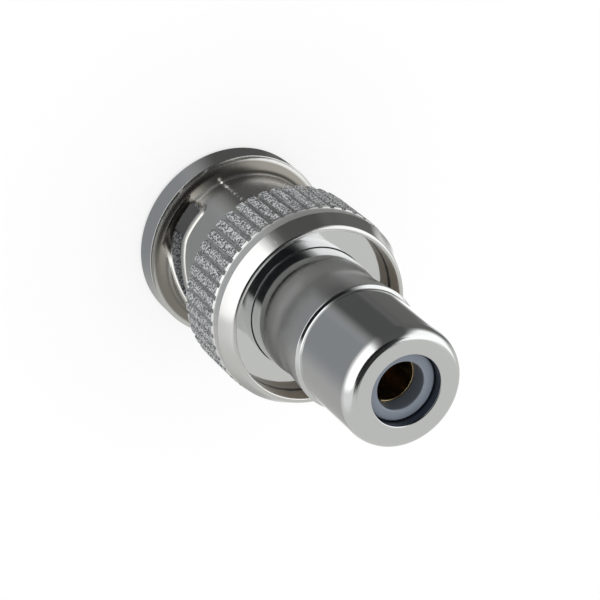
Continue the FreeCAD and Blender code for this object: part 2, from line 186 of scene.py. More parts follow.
def subdivide(outline: Sequence[Point], step: float) -> list[Point]:
    """Adds points to a closed outline until no side is longer than a step.

    Args:
        outline: The outline.
        step: Length of the longest side that may stay.

    Returns:
        The points of the finer outline.
    """
    points: list[Point] = []
    for index, (x, z) in enumerate(outline):
        ahead = outline[(index + 1) % len(outline)]
        pieces = max(1, math.ceil(math.dist((x, z), ahead) / step))
        points += [(x + (ahead[0] - x) * k / pieces, z + (ahead[1] - z) * k / pieces) for k in range(pieces)]
    return points


def heading(outline: Sequence[Point], index: int) -> Vector:
    """Returns the direction in which a closed outline runs at one of its points."""
    return (Vector(outline[(index + 1) % len(outline)]) - Vector(outline[index - 1])).normalized()


def polar(radius: float, angle: float, height: float) -> Vector:
    """Returns the point at a radius, an angle in radians and a height."""
    return Vector((radius * math.cos(angle), radius * math.sin(angle), height))


@contextmanager
def editing(mesh: bpy.types.Mesh) -> Iterator[bmesh.types.BMesh]:
    """Opens a mesh for editing, and writes it back at the end.

    Args:
        mesh: The mesh.

    Yields:
        Its editable copy.
    """
    edited = bmesh.new()
    edited.from_mesh(mesh)
    yield edited
    edited.to_mesh(mesh)
    edited.free()


def new_piece(name: str, vertices: Iterable[Sequence[float]], faces: Iterable[Sequence[int]]) -> Piece:
    """Makes a mesh object, still in millimetres.

    Args:
        name: Name of the piece.
        vertices: Corners of the mesh.
        faces: Faces of the mesh, as corner numbers.

    Returns:
        The object, linked to the scene.
    """
    mesh = bpy.data.meshes.new(name)
    mesh.from_pydata([tuple(v) for v in vertices], [], [tuple(f) for f in faces])
    with editing(mesh) as edited:
        bmesh.ops.remove_doubles(edited, verts=edited.verts, dist=SAME_POINT)
        bmesh.ops.recalc_face_normals(edited, faces=edited.faces)
    piece = bpy.data.objects.new(name, mesh)
    bpy.context.scene.collection.objects.link(piece)
    return piece


def turn_outline(
    name: str, outline: Sequence[Point], azimuths: Sequence[float], reach: Optional[Reach] = None
) -> Piece:
    """Turns a closed outline about the adapter's axis.

    Args:
        name: Name of the piece.
        outline: Radii and heights.
        azimuths: Where the columns of the mesh stand.
        reach: Gives the radius at an azimuth, a radius and a height, where the piece isn't round.

    Returns:
        The turned piece.
    """
    vertices = []
    for azimuth in azimuths:
        for radius, height in outline:
            out = reach(azimuth, radius, height) if reach else radius
            vertices.append(polar(out, math.radians(azimuth), height))
    rows, columns = len(outline), len(azimuths)
    faces = []
    for column in range(columns):
        here, beside = column * rows, (column + 1) % columns * rows
        for row in range(rows):
            above = (row + 1) % rows
            faces.append((here + row, beside + row, beside + above, here + above))
    return new_piece(name, vertices, faces)


def turned(name: str, corners: Sequence[Corner], columns: int) -> Piece:
    """Turns an outline of eased corners into a round piece."""
    return turn_outline(name, ease(corners), [360 * k / columns for k in range(columns)])


def lay_strip(name: str, rows: Sequence[Sequence[Vector]]) -> Piece:
    """Makes a closed strip through rows of corners.

    Args:
        name: Name of the strip.
        rows: The corners of its section, from one end to the other.

    Returns:
        The strip.
    """
    count, whole = len(rows[0]), len(rows[0]) * len(rows)
    faces: list[Sequence[int]] = []
    for first in range(0, whole - count, count):
        for k in range(count):
            here, beside = first + k, first + (k + 1) % count
            faces.append((here, beside, beside + count, here + count))
    faces += [tuple(range(count)), tuple(range(whole - count, whole))]
    return new_piece(name, [corner for row in rows for corner in row], faces)


def block(name: str, low: Sequence[float], high: Sequence[float], azimuth: float) -> Piece:
    """Makes a block that lies along an azimuth.

    Args:
        name: Name of the block.
        low: Its lowest corner, as reach along the azimuth, offset to the side and height.
        high: Its highest corner.
        azimuth: Where it points.

    Returns:
        The block.
    """
    turn = Matrix.Rotation(math.radians(azimuth), 3, "Z")
    corners = [turn @ Vector(place) for place in product(*zip(low, high))]
    faces = [(0, 1, 3, 2), (4, 6, 7, 5), (0, 4, 5, 1), (2, 3, 7, 6), (0, 2, 6, 4), (1, 5, 7, 3)]
    return new_piece(name, corners, faces)


def carve(piece: Piece, cutters: Sequence[Piece]) -> None:
    """Cuts the cutters out of a piece and removes them.

    Args:
        piece: The piece to cut.
        cutters: Closed meshes.
    """
    for cutter in cutters:
        cut = piece.modifiers.new(cutter.name, "BOOLEAN")
        cut.operation = "DIFFERENCE"
        cut.solver = "MANIFOLD"
        cut.object = cutter
    bpy.context.view_layer.update()
    result = bpy.data.meshes.new_from_object(piece.evaluated_get(bpy.context.evaluated_depsgraph_get()))
    piece.modifiers.clear()
    piece.data = result
    for cutter in cutters:
        bpy.data.objects.remove(cutter)


def saw(piece: Piece, low: Sequence[float], high: Sequence[float], first: float, count: int) -> None:
    """Saws a piece open with blocks that are evenly spaced round its axis.

    Args:
        piece: The piece.
        low: Lowest corner of the first cut, as for a block.
        high: Its highest corner.
        first: Azimuth of the first cut.
        count: Number of cuts.
    """
    carve(piece, [block(f"saw_{k}", low, high, first + 360 / count * k) for k in range(count)])


def join(piece: Piece, others: Sequence[Piece]) -> None:
    """Moves the meshes of other pieces into one piece.

    Args:
        piece: The piece that takes them.
        others: The pieces, which are removed.
    """
    with editing(piece.data) as whole:
        for part in others:
            whole.from_mesh(part.data)
    for part in others:
        bpy.data.objects.remove(part)


def fit_piece(piece: Piece, body: Body, node: str, finish: Material) -> None:
    """Brings a piece to metres and puts it in the place of its node, on its body, in its finish.

    Args:
        piece: The piece, in millimetres.
        body: The body that it rides on.
        node: The node that it stands for.
        finish: Its material.
    """
    mesh = piece.data
    mesh.transform(Matrix.Scale(MM, 4))
    mesh.shade_smooth()
    mesh.set_sharp_from_angle(angle=math.radians(CREASE))
    mesh.update()
    mesh.materials.clear()
    mesh.materials.append(finish)
    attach(piece, body.value)
    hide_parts(node)
    LOG.info("%s: %d faces on %s", piece.name, len(mesh.polygons), body.value)


class Nodes:
    """Lays out the shader nodes of one material, or of the world."""

    def __init__(self, name: str) -> None:
        """Makes an empty material with a Principled shader."""
        self.material = bpy.data.materials.new(name)
        self.material.use_nodes = True
        self.tree = self.material.node_tree
        self.tree.nodes.clear()
        self.output = self.tree.nodes.new("ShaderNodeOutputMaterial")
        self.shader = self.tree.nodes.new("ShaderNodeBsdfPrincipled")
        self.tree.links.new(self.shader.outputs[0], self.output.inputs[0])

    @classmethod
    def on(cls, tree: bpy.types.NodeTree) -> "Nodes":
        """Starts on the world's own tree."""
        nodes = cls.__new__(cls)
        nodes.tree = tree
        tree.nodes.clear()
        nodes.output = tree.nodes.new("ShaderNodeOutputWorld")
        return nodes

    def add(self, kind: str, inputs: Optional[dict] = None, **settings: object) -> bpy.types.Node:
        """Adds a node.

        Args:
            kind: Its type, without the leading ShaderNode.
            inputs: Values or output sockets for its inputs, by name or number.
            settings: Its properties.

        Returns:
            The node.
        """
        node = self.tree.nodes.new("ShaderNode" + kind)
        for name, value in settings.items():
            setattr(node, name, value)
        for name, value in (inputs or {}).items():
            self.feed(node.inputs[name], value)
        return node

    def feed(self, socket: Socket, value: object) -> None:
        """Links an output to a socket, or sets its value."""
        if isinstance(value, Socket):
            self.tree.links.new(value, socket)
        else:
            socket.default_value = value

    def finish(self, inputs: dict[str, object]) -> Material:
        """Feeds the inputs of the Principled shader.

        Args:
            inputs: Values or output sockets, by the names of the inputs.

        Returns:
            The finished material.
        """
        for name, value in inputs.items():
            self.feed(self.shader.inputs[name], value)
        return self.material

    def math(self, operation: str, *values: object) -> Socket:
        """Adds a sum of values or sockets."""
        return self.add("Math", dict(enumerate(values)), operation=operation).outputs[0]

    def times(self, first: object, *others: object) -> Socket:
        """Multiplies values or sockets."""
        for other in others:
            first = self.math("MULTIPLY", first, other)
        return first

    def vector(self, operation: str, *values: object) -> Socket:
        """Adds a sum of vectors or sockets."""
        return self.add("VectorMath", dict(enumerate(values)), operation=operation).outputs[0]

    def blend(self, share: object, first: object, second: object) -> Socket:
        """Blends two colours.

        Args:
            share: How much of the second shows.
            first: Colour or socket.
            second: Colour or socket.

        Returns:
            The blend.
        """
        mix = self.add("Mix", {0: share}, data_type="RGBA")
        for socket, colour in zip((mix.inputs[6], mix.inputs[7]), (first, second)):
            self.feed(socket, (*colour, 1.0) if isinstance(colour, tuple) else colour)
        return mix.outputs[2]

    def noise(self, place: object, size: float, detail: float = 0.0, dimensions: str = "3D") -> Socket:
        """Adds a noise.

        Args:
            place: Where it is read, in millimetres.
            size: Size of its grains.
            detail: How much finer noise lies on top.
            dimensions: Whether it is read along a line or in space.

        Returns:
            The noise, from 0 to 1.
        """
        name = "W" if dimensions == "1D" else "Vector"
        inputs = {name: place, "Scale": 1 / size, "Detail": detail}
        return self.add("TexNoise", inputs, noise_dimensions=dimensions).outputs[0]

    def bump(self, height: object, depth: float, normal: Optional[Socket] = None) -> Socket:
        """Bends the normal by a relief.

        Args:
            height: The relief, from 0 to 1.
            depth: Its depth, in millimetres.
            normal: The normal under it.

        Returns:
            The bent normal.
        """
        inputs = {"Height": height, "Distance": depth * MM}
        if normal is not None:
            inputs["Normal"] = normal
        return self.add("Bump", inputs).outputs[0]

    def ramp(self, value: object, low: float, high: float, start: float = 0.0, end: float = 1.0) -> Socket:
        """Maps a range of values smoothly to another.

        Args:
            value: The socket to map.
            low: Value that gives start.
            high: Value that gives end.
            start: Result at low.
            end: Result at high.

        Returns:
            The mapped value.
        """
        inputs = {"Value": value, "From Min": low, "From Max": high, "To Min": start, "To Max": end}
        return self.add("MapRange", inputs, interpolation_type="SMOOTHSTEP").outputs[0]

    def looked_at(self) -> Socket:
        """Tells the rays that the camera sends, straight or through glass, from the others."""
        path = self.add("LightPath").outputs
        return self.math("MAXIMUM", path["Is Camera Ray"], path["Is Transmission Ray"])

    def mirror(self, plain: bpy.types.Node, seen: bpy.types.Node) -> None:
        """Ends the shader, which shows glossy rays something of its own.

        Args:
            plain: What all other rays meet.
            seen: What glossy rays meet.
        """
        glossy = self.add("LightPath").outputs["Is Glossy Ray"]
        whole = self.add("MixShader", {0: glossy, 1: plain.outputs[0], 2: seen.outputs[0]})
        self.feed(self.output.inputs[0], whole.outputs[0])

    def rise(self, value: object, base: float, step: Point) -> Socket:
        """Rises from 0 to 1 over a step that is measured from a base."""
        return self.ramp(value, base + step[0], base + step[1])

    def fall(self, value: object, base: float, step: Point) -> Socket:
        """Falls from 1 to 0 over a step that is measured from a base."""
        return self.ramp(value, base + step[0], base + step[1], 1.0, 0.0)


class Spot:
    """Where a point of a surface lies on the adapter, as sockets in millimetres."""

    def __init__(self, nodes: Nodes) -> None:
        """Reads the place from the mesh's own coordinates."""
        metres = nodes.add("TexCoord").outputs["Object"]
        self.place = nodes.vector("MULTIPLY", metres, (1 / MM, 1 / MM, 1 / MM))
        east, self.north, self.height = nodes.add("SeparateXYZ", {0: self.place}).outputs
        square = nodes.math("ADD", nodes.times(east, east), nodes.times(self.north, self.north))
        self.radius = nodes.math("SQRT", square)


@dataclass(frozen=True)
class PlatedMetal:
    """Bright plated metal from the lathe or the press.

    Attributes:
        name: Name of the finish.
        tint: Colour of the plate.
        roughness: How soft its reflections are.
        line_step: Distance between the finest lines that the tool left.
        wave_step: Size of the faint unevenness of the plate.
        soft_span: Heights between which the tool left the surface softer.
        soft_start: Step over which it gets softer, from the lower one.
        soft_end: Step over which that ends, from the upper one.
        soft_roughness: How much softer it is there.
        bore: Radius inside which painted shade darkens the plate.
        bore_edge: Step over which it gets bright, from there.
        bore_shade_tint: Its colour inside.
    """

    name: str
    tint: Colour
    roughness: float
    line_step: float = 0.12
    line_depth: float = 0.0004
    wave_step: float = 1.2
    wave_depth: float = 0.002
    soft_span: Point = (0.0, 0.0)
    soft_start: Point = (0.0, 0.6)
    soft_end: Point = (-0.1, 0.0)
    soft_roughness: float = 0.0
    bore: float = -1.0
    bore_edge: Point = (0.02, 0.05)
    bore_shade_tint: Colour = (0.09, 0.1, 0.12)

    def relief(self, nodes: Nodes, spot: Spot) -> Socket:
        """Adds the tool's lines and the plate's unevenness.

        Args:
            nodes: The shader.
            spot: Where the surface lies.

        Returns:
            The bent normal.
        """
        run = nodes.math("ADD", spot.radius, spot.height)
        lines = nodes.noise(run, self.line_step, detail=3.0, dimensions="1D")
        waves = nodes.noise(spot.place, self.wave_step)
        return nodes.bump(lines, self.line_depth, nodes.bump(waves, self.wave_depth))

    def material(self) -> Material:
        """Returns the finish as a material."""
        nodes = Nodes(self.name)
        spot = Spot(nodes)
        low, high = self.soft_span
        starts = nodes.rise(spot.height, low, self.soft_start)
        ends = nodes.fall(spot.height, high, self.soft_end)
        # Painted shade: inside the bore the plate's colour turns dark.
        inside = nodes.fall(spot.radius, self.bore, self.bore_edge)
        return nodes.finish({
            "Base Color": nodes.blend(inside, self.tint, self.bore_shade_tint),
            "Metallic": 1.0,
            "Roughness": nodes.math("ADD", self.roughness, nodes.times(starts, ends, self.soft_roughness)),
            "Normal": self.relief(nodes, spot),
        })


@dataclass(frozen=True)
class Coat:
    """How one stretch of a casting takes the light.

    Attributes:
        tint: Its colour.
        roughness: How soft its reflections are.
        metal: How much of it shines as metal; the rest scatters.
    """

    tint: Colour
    roughness: float
    metal: float = 1.0


@dataclass(frozen=True)
class CastNickel:
    """Nickel plate over a die casting, bright where it was polished, sandy on the ribs, dull and painted
    darker inside.

    A pair whose name ends in start, end, edge, side or foot is a step: two distances from an edge of the nut,
    between which one stretch of the finish gives way to the next.

    Attributes:
        name: Name of the finish.
        hollow_tint: Darker colour painted as shade in the hollow at the waist's foot.
        pit_tint: Colour of the pits between the grains of sand on the ribs.
        groove_sand: How much of the sand the grooves between the ribs have.
        lit_side_tint: Colour inside the lip on the side towards -Y, painted lighter as if lit.
        shaded_side_tint: Colour inside the lip on the side towards +Y, painted darker as if shaded.
        lit_to_shaded_span: Where across the lip the one gives way to the other.
        crevice_shade_tint: Colour of the painted shade where the lip meets the washer.
        crevice: How far it creeps up the lip.
        crevice_size: Length over which that comes and goes.
        sand_contrast: Values of the noise that give a pit and a grain.
        raw_contrast: The same on the bare inside.
        dull_sand: How much of the grains' depth the dull places have.
        wave_step: Size of the faint unevenness of the casting.
    """

    name: str = "cast_nickel"
    polished: Coat = Coat((0.66, 0.66, 0.65), 0.15)
    waist: Coat = Coat((0.7, 0.69, 0.66), 0.26)
    hollow_tint: Colour = (0.24, 0.228, 0.204)
    sand: Coat = Coat((0.98, 0.99, 1.0), 0.35, 0.15)
    pit_tint: Colour = (0.13, 0.14, 0.15)
    groove_sand: float = 0.35
    collar: Coat = Coat((0.8, 0.8, 0.79), 0.36, 0.7)
    # Bare casting inside the nut: dull, and its colour also darkened as painted shade.
    raw_and_shaded: Coat = Coat((0.34, 0.35, 0.36), 0.6, 0.35)
    raw_pit_tint: Colour = (0.05, 0.05, 0.05)
    lit_side_tint: Colour = (0.88, 0.87, 0.84)
    shaded_side_tint: Colour = (0.36, 0.31, 0.25)
    lit_to_shaded_span: Point = (-2.0, 3.0)
    crevice_shade_tint: Colour = (0.03, 0.025, 0.02)
    crevice: float = 0.16
    crevice_size: float = 0.25
    crevice_edge: Point = (-0.02, 0.04)
    sand_size: float = 0.12
    sand_depth: float = 0.03
    sand_contrast: Point = (0.44, 0.56)
    raw_contrast: Point = (0.4, 0.6)
    dull_sand: float = 0.5
    wave_step: float = 0.9
    wave_depth: float = 0.006
    waist_start: Point = (0.0, 0.05)
    waist_end: Point = (-0.1, 0.0)
    hollow_end: Point = (0.45, 0.9)
    band_start: Point = (0.02, 0.12)
    band_end: Point = (-0.25, -0.1)
    groove_side: Point = (-0.16, -0.04)
    collar_start: Point = (-0.12, -0.04)
    collar_end: Point = (-0.06, 0.0)
    collar_side: Point = (0.4, 0.5)
    lip_side: Point = (0.03, 0.06)
    lip_foot: Point = (-0.1, 0.0)
    bare_side: Point = (-0.22, -0.1)

    def painted_lip_shading(self, nodes: Nodes, spot: Spot, foot: float) -> Socket:
        """Paints light and shade inside the lip: lighter on one side, darker on the other, dark where it
        meets the washer.

        Args:
            nodes: The shader.
            spot: Where the surface lies.
            foot: Height at which the lip meets the washer.

        Returns:
            The colour.
        """
        # Painted light and shade: one side of the lip's inside lighter, the other darker.
        painted_lip_shading = nodes.blend(nodes.ramp(spot.north, *self.lit_to_shaded_span), self.lit_side_tint, self.shaded_side_tint)
        # Painted shade: a ragged dark line where the lip meets the washer.
        creep = nodes.times(nodes.noise(spot.place, self.crevice_size, detail=2.0), 2 * self.crevice)
        above = nodes.math("SUBTRACT", nodes.math("SUBTRACT", spot.height, foot), creep)
        return nodes.blend(nodes.fall(above, 0.0, self.crevice_edge), painted_lip_shading, self.crevice_shade_tint)

    def material(self, nut: "CouplingNut") -> Material:
        """Lays the finish out on the nut.

        Args:
            nut: The nut, whose sizes say where each stretch starts and ends.

        Returns:
            The material.
        """
        nodes = Nodes(self.name)
        spot = Spot(nodes)
        ribs, height, radius = nut.ribs, spot.height, spot.radius
        waist = nodes.times(
            nodes.fall(height, ribs.start, self.waist_end),
            nodes.rise(height, nut.rim_length, self.waist_start),
        )
        crest = [ribs.radius + side for side in self.groove_side]
        band = nodes.times(
            nodes.rise(height, ribs.start, self.band_start),
            nodes.fall(height, ribs.end, self.band_end),
            nodes.ramp(radius, *crest, self.groove_sand, 1.0),
        )
        collar = nodes.times(
            nodes.rise(height, ribs.end, self.collar_start),
            nodes.fall(height, nut.collar_end, self.collar_end),
            nodes.rise(radius, nut.recess_radius, self.collar_side),
        )
        lip = nodes.times(
            nodes.fall(radius, nut.recess_radius, self.lip_side),
            nodes.rise(height, nut.recess_floor, self.lip_foot),
        )
        # Bare inside of the nut: dull casting, also painted darker as shade.
        bare = nodes.fall(radius, nut.waist_radius, self.bare_side)
        dull = nodes.math("MAXIMUM", lip, bare)
        grain = nodes.noise(spot.place, self.sand_size, detail=3.0)
        # Painted shade: the hollow at the waist's foot is darker, giving way to the waist's colour above.
        past_hollow_shade = nodes.rise(height, nut.rim_length, self.hollow_end)
        colour: object = self.polished.tint
        for share, tint in (
            (waist, nodes.blend(past_hollow_shade, self.hollow_tint, self.waist.tint)),
            (collar, self.collar.tint),
            (band, nodes.blend(nodes.ramp(grain, *self.sand_contrast), self.pit_tint, self.sand.tint)),
            (lip, self.painted_lip_shading(nodes, spot, nut.recess_floor)),
            (bare, nodes.blend(nodes.ramp(grain, *self.raw_contrast), self.raw_pit_tint, self.raw_and_shaded.tint)),
        ):
            colour = nodes.blend(share, colour, tint)
        rough: object = self.polished.roughness
        metal: object = self.polished.metal
        for share, coat in ((waist, self.waist), (collar, self.collar), (band, self.sand), (dull, self.raw_and_shaded)):
            rough = nodes.math("ADD", rough, nodes.times(share, coat.roughness - self.polished.roughness))
            metal = nodes.math("ADD", metal, nodes.times(share, coat.metal - self.polished.metal))
        waves = nodes.bump(nodes.noise(spot.place, self.wave_step), self.wave_depth)
        relief = nodes.times(grain, nodes.math("MAXIMUM", band, nodes.times(dull, self.dull_sand)))
        return nodes.finish({
            "Base Color": colour,
            "Metallic": metal,
            "Roughness": rough,
            "Normal": nodes.bump(relief, self.sand_depth, waves),
        })


@dataclass(frozen=True)
class Moulding:
    """Moulded plastic or rubber.

    Attributes:
        name: Name of the finish.
        tint: Its colour.
        roughness: How soft its reflections are.
        bore: Radius inside which painted shade darkens it.
        bore_edge: Step over which it gets lighter, from there.
        bore_shade: Share of its colour that is left inside.
        mottle: How much its colour comes and goes.
        mottle_size: Over what length.
    """

    name: str
    tint: Colour
    roughness: float
    bore: float = -1.0
    bore_edge: Point = (0.0, 0.05)
    bore_shade: float = 0.5
    mottle: float = 0.12
    mottle_size: float = 0.6

    def shade(self, share: float) -> Colour:
        """Returns a share of its colour."""
        return tuple(channel * share for channel in self.tint)

    def material(self) -> Material:
        """Returns the finish as a material."""
        nodes = Nodes(self.name)
        spot = Spot(nodes)
        # Painted shade: inside the bore the colour drops to a share of itself.
        inside = nodes.fall(spot.radius, self.bore, self.bore_edge)
        mottled = nodes.noise(spot.place, self.mottle_size, detail=2.0)
        colour = nodes.blend(mottled, self.shade(1.0 - self.mottle), self.tint)
        colour = nodes.blend(inside, colour, self.shade(self.bore_shade))
        return nodes.finish({"Base Color": colour, "Roughness": self.roughness})


@dataclass(frozen=True)
class Ribs:
    """The band of straight ribs round the coupling nut, above its waist."""

    start: float = 8.3
    end: float = 12.55
    radius: float = 7.03
    count: int = 48
    depth: float = 0.33
    turn: float = 1.1
    flat: float = 4.3
    edge: float = 0.22
    run_out: float = 0.2

    @property
    def pitch(self) -> float:
        """Angle from one rib to the next."""
        return 360 / self.count

    @property
    def first(self) -> float:
        """Azimuth of the first rib."""
        return self.turn - self.pitch / 2

    def azimuths(self) -> list[float]:
        """Returns the columns that the mesh needs: the edges of each rib and the root of each groove."""
        half, middle = self.flat / 2, self.pitch / 2
        local = (-half - self.edge, -half + self.edge / 2, 0.0, half - self.edge / 2, half + self.edge)
        local += (middle - self.edge, middle + self.edge)
        ribs = [self.first + rib * self.pitch for rib in range(self.count)]
        return sorted((rib + place) % 360 for rib in ribs for place in local)

    def reach(self, azimuth: float, radius: float, height: float) -> float:
        """Takes the groove between two ribs off a radius.

        Args:
            azimuth: Where on the band.
            radius: Radius of the turned band.
            height: Height above the front rim.

        Returns:
            The radius that is left.
        """
        if not self.start - SAME_HEIGHT <= height <= self.end + SAME_HEIGHT:
            return radius
        place = abs((azimuth - self.first + self.pitch / 2) % self.pitch - self.pitch / 2)
        half = self.flat / 2
        share = (place - half) / (self.pitch / 2 - self.edge - half)
        foot = self.radius - self.depth * min(max(share, 0.0), 1.0)
        rise = max(height - (self.end - self.run_out), 0.0) * self.depth / self.run_out
        return min(radius, foot + rise)


@dataclass(frozen=True)
class Slots:
    """The two bayonet slots of the coupling nut, pulled out of the die along one line."""

    count: int = 2
    width: float = 1.9
    height: float = 3.08
    rise: float = 2.5
    slope: float = 30.0
    bend: float = 2.2
    bend_place: float = 3.5
    bend_steps: int = 8
    floor: float = 2.3
    detent_place: float = 2.7
    detent_drop: float = 0.3
    hollow_steps: int = 18
    cusp: Round = Round(0.35, 4)
    end: Round = Round(0.35, 5)
    end_length: float = 0.5
    step: float = 0.2
    pull: float = 333.0
    entry: float = 281.0
    entry_width: float = 2.2
    entry_radius: float = 5.6
    entry_start: float = -1.0
    round_off: float = 0.3
    flare_angles: tuple[float, ...] = (0.3, 0.6, 0.9, 1.15, 1.35)
    clear: float = 0.04
    lowest: float = 2.1
    outside: float = 9.0
    bead_end: float = 2.2
    bead_fade: float = 1.2
    bead_gain: float = 1.4
    bead_least: float = 0.05
    bead_section: tuple[Point, ...] = (
        (0.02, -0.3), (-0.02, -0.02), (0.0, 0.1), (0.06, 0.15), (0.2, 0.11), (0.42, 0.0), (0.46, -0.04)
    )

    def hollow(self, high: float) -> list[Corner]:
        """Draws the round hollow in which a lug comes to rest.

        Args:
            high: Height of the slot's middle line at its end.

        Returns:
            Points from the slot's lower edge round to its upper edge.
        """
        radius = self.width / 2 + self.detent_drop
        sink = self.width / 2 - self.detent_drop
        start = -math.pi + math.asin(sink / radius)
        middle = high - self.detent_drop
        points = []
        for step in range(self.hollow_steps + 1):
            angle = start + (math.pi / 2 - start) * step / self.hollow_steps
            across = self.detent_place + radius * math.cos(angle)
            points.append(Corner(across, middle + radius * math.sin(angle)))
        return points

    def outline(self, wall: float) -> list[Point]:
        """Draws the slot on the wall, laid out flat.

        Args:
            wall: Radius of the wall.

        Returns:
            Points along the edge of the slot: length along the wall from the pull line, and height.
        """
        half = self.width / 2
        low, high = self.height, self.height + self.rise
        slope = math.radians(self.slope)
        first = -self.bend_place
        second = first + self.rise / math.tan(slope)
        shift = half * math.tan(slope / 2)
        end = -math.sqrt(wall * wall - self.floor * self.floor)
        outer, inner = Round(self.bend + half, self.bend_steps), Round(self.bend - half, self.bend_steps)
        hollow = self.hollow(high)
        corners = [
            Corner(end, low - half),
            Corner(first + shift, low - half, outer),
            Corner(second + shift, high - half, inner),
            Corner(hollow[0].across, hollow[0].along, self.cusp),
            *hollow[2:],
            Corner(second - shift, high + half, outer),
            Corner(first - shift, low + half, inner),
            Corner(end, low + half),
        ]
        seen = subdivide(ease(corners, 0.0), self.step)
        inland = [Corner(wall * math.asin(x / wall), z) for x, z in seen if x > end + self.end_length]
        edge = wall * math.asin(end / wall)
        flat = [Corner(edge, low - half, self.end), *inland, Corner(edge, low + half, self.end)]
        return subdivide(ease(flat, 0.0), self.step)

    def flare(self) -> list[Point]:
        """Returns how the die widens and rises along the round of the slot's edge."""
        size = self.round_off
        rows = [(size * (1 - math.cos(angle)), size * (math.sin(angle) - 1)) for angle in self.flare_angles]
        return rows + [(rows[-1][0] + self.clear, self.clear)]

    def azimuth(self, first: float, number: int) -> float:
        """Returns where one of the slots points, from where the first does."""
        return first + 360 / self.count * number

    def cutter(self, number: int, wall: float, surface: Callable[[float], float]) -> Piece:
        """Makes the die that leaves one slot, flared where the slot's edge is rounded.

        Args:
            number: Which slot it is.
            wall: Radius of the nut's waist.
            surface: Gives the outside radius of the nut at a height.

        Returns:
            The die as a closed mesh.
        """
        pull = math.radians(self.azimuth(self.pull, number))
        along = Vector((math.cos(pull), math.sin(pull), 0))
        across = Vector((-along.y, along.x, 0))
        flare = self.flare()
        outline = self.outline(wall)
        columns = []
        for index, (length, height) in enumerate(outline):
            edge = heading(outline, index)
            radius = surface(height) - self.round_off
            side = wall * math.sin(length / wall)
            side = max(side, -math.sqrt(radius * radius - self.floor * self.floor))
            inside = across * side + Vector((0, 0, height))
            column = [along * self.floor + inside, along * math.sqrt(radius * radius - side * side) + inside]
            for offset, rise in flare:
                angle = pull + (length + edge.y * offset) / wall
                level = max(height - edge.x * offset, self.lowest)
                column.append(polar(surface(level) + rise, angle, level))
            columns.append([*column, polar(self.outside, angle, level)])
        die = lay_strip(f"slot_die_{number}", list(zip(*columns)))
        with editing(die.data) as edited:
            bmesh.ops.triangulate(edited, faces=edited.faces)
        return die

    def bead(self, number: int, wall: float) -> Piece:
        """Makes the raised edge that stands over one slot.

        Args:
            number: Which slot it is.
            wall: Radius of the nut's waist.

        Returns:
            The edge as a closed strip.
        """
        outline = self.outline(wall)
        pull = math.radians(self.azimuth(self.pull, number))
        rows = []
        for index, (length, height) in enumerate(outline[:-1]):
            edge = heading(outline, index)
            share = min(max(-edge.x, 0.0) * self.bead_gain, (self.bead_end - length) / self.bead_fade, 1.0)
            if index == 0 or share < self.bead_least:
                continue
            row = []
            for offset, rise in self.bead_section:
                out = wall + (rise * share if rise > 0 else rise)
                row.append(polar(out, pull + (length + edge.y * offset) / wall, height - edge.x * offset))
            rows.append(row)
        return lay_strip(f"slot_bead_{number}", rows)

    def channel(self, number: int, bore: float) -> Piece:
        """Makes the die that leaves the channel through which a lug comes in.

        Args:
            number: Which slot it is.
            bore: Radius of the nut's bore.

        Returns:
            The die.
        """
        half = self.entry_width / 2
        low = (bore - half, -half, self.entry_start)
        high = (math.sqrt(self.entry_radius**2 - half * half), half, self.height)
        return block(f"channel_die_{number}", low, high, self.azimuth(self.entry, number))


@dataclass(frozen=True)
class Seam:
    """Raised line that the joint of the die left on the outside of the coupling nut.

    Attributes:
        azimuth: Where it runs.
        start: Height of its lower end.
        end: Height of its upper end.
        width: How broad it is.
        rise: How far it stands out.
        ragged: Share of its rise that comes and goes.
        grain: Length over which it does.
        lean: Share of its width by which its crest wanders.
        step: Length of one chord of it.
        sink: How far its foot lies inside the casting.
    """

    azimuth: float
    start: float
    end: float
    width: float = 0.16
    rise: float = 0.06
    ragged: float = 1.2
    grain: float = 0.22
    lean: float = 0.15
    step: float = 0.1
    sink: float = 0.03

    def strip(self, name: str, outside: Sequence[Point]) -> Piece:
        """Makes the seam as a closed, three-sided strip that lies on the nut.

        Args:
            name: Name of the strip.
            outside: Radii and heights up the outside of the nut.

        Returns:
            The strip.
        """
        run = [point for point in subdivide(outside, self.step) if self.start <= point[1] <= self.end]
        rows = []
        for index, (radius, height) in enumerate(run):
            ahead = Vector(run[min(index + 1, len(run) - 1)]) - Vector(run[max(index - 1, 0)])
            ahead.normalize()
            lift = noise.noise(Vector((self.azimuth, radius, height)) / self.grain)
            rise = self.rise * (1 - self.ragged / 2 + self.ragged * lift)
            row = []
            for side, step in ((-0.5, -self.sink), (0.5, -self.sink), (self.lean * lift, rise)):
                angle = math.radians(self.azimuth) + side * self.width / radius
                row.append(polar(radius + ahead.y * step, angle, height - ahead.x * step))
            rows.append(row)
        return lay_strip(name, rows)


